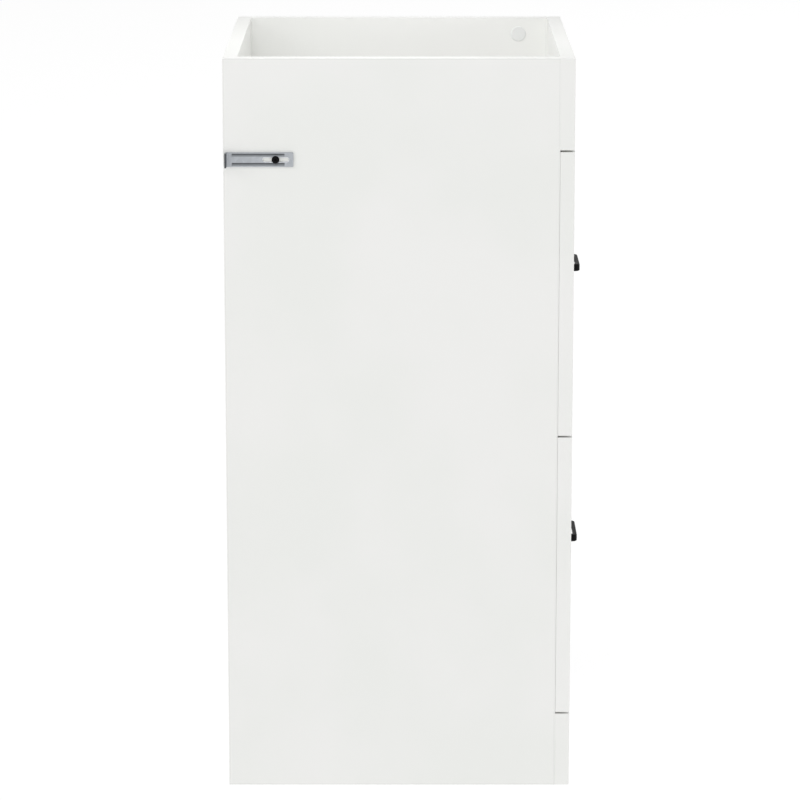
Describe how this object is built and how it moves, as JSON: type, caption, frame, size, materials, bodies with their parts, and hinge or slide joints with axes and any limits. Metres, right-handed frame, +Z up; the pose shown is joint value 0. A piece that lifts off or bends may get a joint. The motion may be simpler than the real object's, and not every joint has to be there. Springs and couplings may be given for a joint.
{
  "type": "bathroom vanity cabinet",
  "caption": "Floor-standing white vanity cabinet with open top for a basin, drawers on roller runners, plinth and wall brackets.",
  "frame": {"origin": "on the floor, under the middle of the object's whole box", "axes": "+Z up; the drawers open towards -Y and the wall is at +Y; X runs across the cabinet"},
  "size_m": [0.436, 0.4, 0.827],
  "materials": {
    "white_melamine": "matte white melamine on chipboard",
    "white_hardboard": "white lacquered hardboard",
    "galvanised_steel": "galvanised",
    "white_enamel": "satin white epoxy",
    "nylon": "smooth",
    "zinc_plate": "zinc plated",
    "black_metal": "satin black",
    "grey_plastic": "smooth",
    "beech_wood": "fluted, raw"
  },
  "bodies": {
    "cabinet": {"back_rail_bottom": "white_melamine", "back_rail_top": "white_melamine", "bottom_panel": "white_melamine", "bracket_screw_left": "black_metal", "bracket_screw_right": "black_metal", "cam_bolt_left": "zinc_plate", "cam_bolt_right": "zinc_plate", "cam_cover_left": "grey_plastic", "cam_cover_right": "grey_plastic", "cam_lock_left": "zinc_plate", "cam_lock_right": "zinc_plate", "fascia_dowel_left": "beech_wood", "fascia_dowel_right": "beech_wood", "lower_cabinet_runner_left": "white_enamel", "lower_cabinet_runner_right": "white_enamel", "plinth_dowel_left": "beech_wood", "plinth_dowel_right": "beech_wood", "plinth_front": "white_melamine", "side_panel_left": "white_melamine", "side_panel_right": "white_melamine", "top_fascia": "white_melamine", "upper_cabinet_runner_left": "white_enamel", "upper_cabinet_runner_right": "white_enamel", "wall_bracket_left": "galvanised_steel", "wall_bracket_right": "galvanised_steel"},
    "upper_drawer": {"upper_drawer_back_left": "white_melamine", "upper_drawer_back_right": "white_melamine", "upper_drawer_bottom": "white_hardboard", "upper_drawer_front": "white_melamine", "upper_drawer_runner_left": "white_enamel", "upper_drawer_runner_right": "white_enamel", "upper_drawer_side_left": "white_melamine", "upper_drawer_side_right": "white_melamine", "upper_drawer_trap_wall_front": "white_melamine", "upper_drawer_trap_wall_left": "white_melamine", "upper_drawer_trap_wall_right": "white_melamine", "upper_handle": "black_metal", "upper_handle_screw_left": "zinc_plate", "upper_handle_screw_right": "zinc_plate"},
    "upper_front_rollers": {"upper_front_roller_left": "nylon", "upper_front_roller_right": "nylon"},
    "upper_rear_rollers": {"upper_rear_roller_left": "nylon", "upper_rear_roller_right": "nylon"},
    "lower_drawer": {"lower_drawer_back": "white_melamine", "lower_drawer_bottom": "white_hardboard", "lower_drawer_front": "white_melamine", "lower_drawer_runner_left": "white_enamel", "lower_drawer_runner_right": "white_enamel", "lower_drawer_side_left": "white_melamine", "lower_drawer_side_right": "white_melamine", "lower_handle": "black_metal", "lower_handle_screw_left": "zinc_plate", "lower_handle_screw_right": "zinc_plate"},
    "lower_front_rollers": {"lower_front_roller_left": "nylon", "lower_front_roller_right": "nylon"},
    "lower_rear_rollers": {"lower_rear_roller_left": "nylon", "lower_rear_roller_right": "nylon"}
  },
  "joints": [
    {"name": "upper_drawer_slide", "type": "slide", "parent": "cabinet", "child": "upper_drawer", "axis": [0, -1, 0], "range_m": [0, 0.225]},
    {"name": "upper_front_roller_spin", "type": "hinge", "parent": "cabinet", "child": "upper_front_rollers", "pos_m": [0, -0.1528, 0.436], "axis": [1, 0, 0], "continuous": true},
    {"name": "upper_rear_roller_spin", "type": "hinge", "parent": "upper_drawer", "child": "upper_rear_rollers", "pos_m": [0, 0.1175, 0.4332], "axis": [1, 0, 0], "continuous": true},
    {"name": "lower_drawer_slide", "type": "slide", "parent": "cabinet", "child": "lower_drawer", "axis": [0, -1, 0], "range_m": [0, 0.225]},
    {"name": "lower_front_roller_spin", "type": "hinge", "parent": "cabinet", "child": "lower_front_rollers", "pos_m": [0, -0.1528, 0.116], "axis": [1, 0, 0], "continuous": true},
    {"name": "lower_rear_roller_spin", "type": "hinge", "parent": "lower_drawer", "child": "lower_rear_rollers", "pos_m": [0, 0.1175, 0.1132], "axis": [1, 0, 0], "continuous": true}
  ],
  "couplings": [
    {"joint": "upper_front_roller_spin", "follows": "upper_drawer_slide", "rad_per_m": 117.65},
    {"joint": "upper_rear_roller_spin", "follows": "upper_drawer_slide", "rad_per_m": 117.65},
    {"joint": "lower_front_roller_spin", "follows": "lower_drawer_slide", "rad_per_m": 117.65},
    {"joint": "lower_rear_roller_spin", "follows": "lower_drawer_slide", "rad_per_m": 117.65}
  ]
}
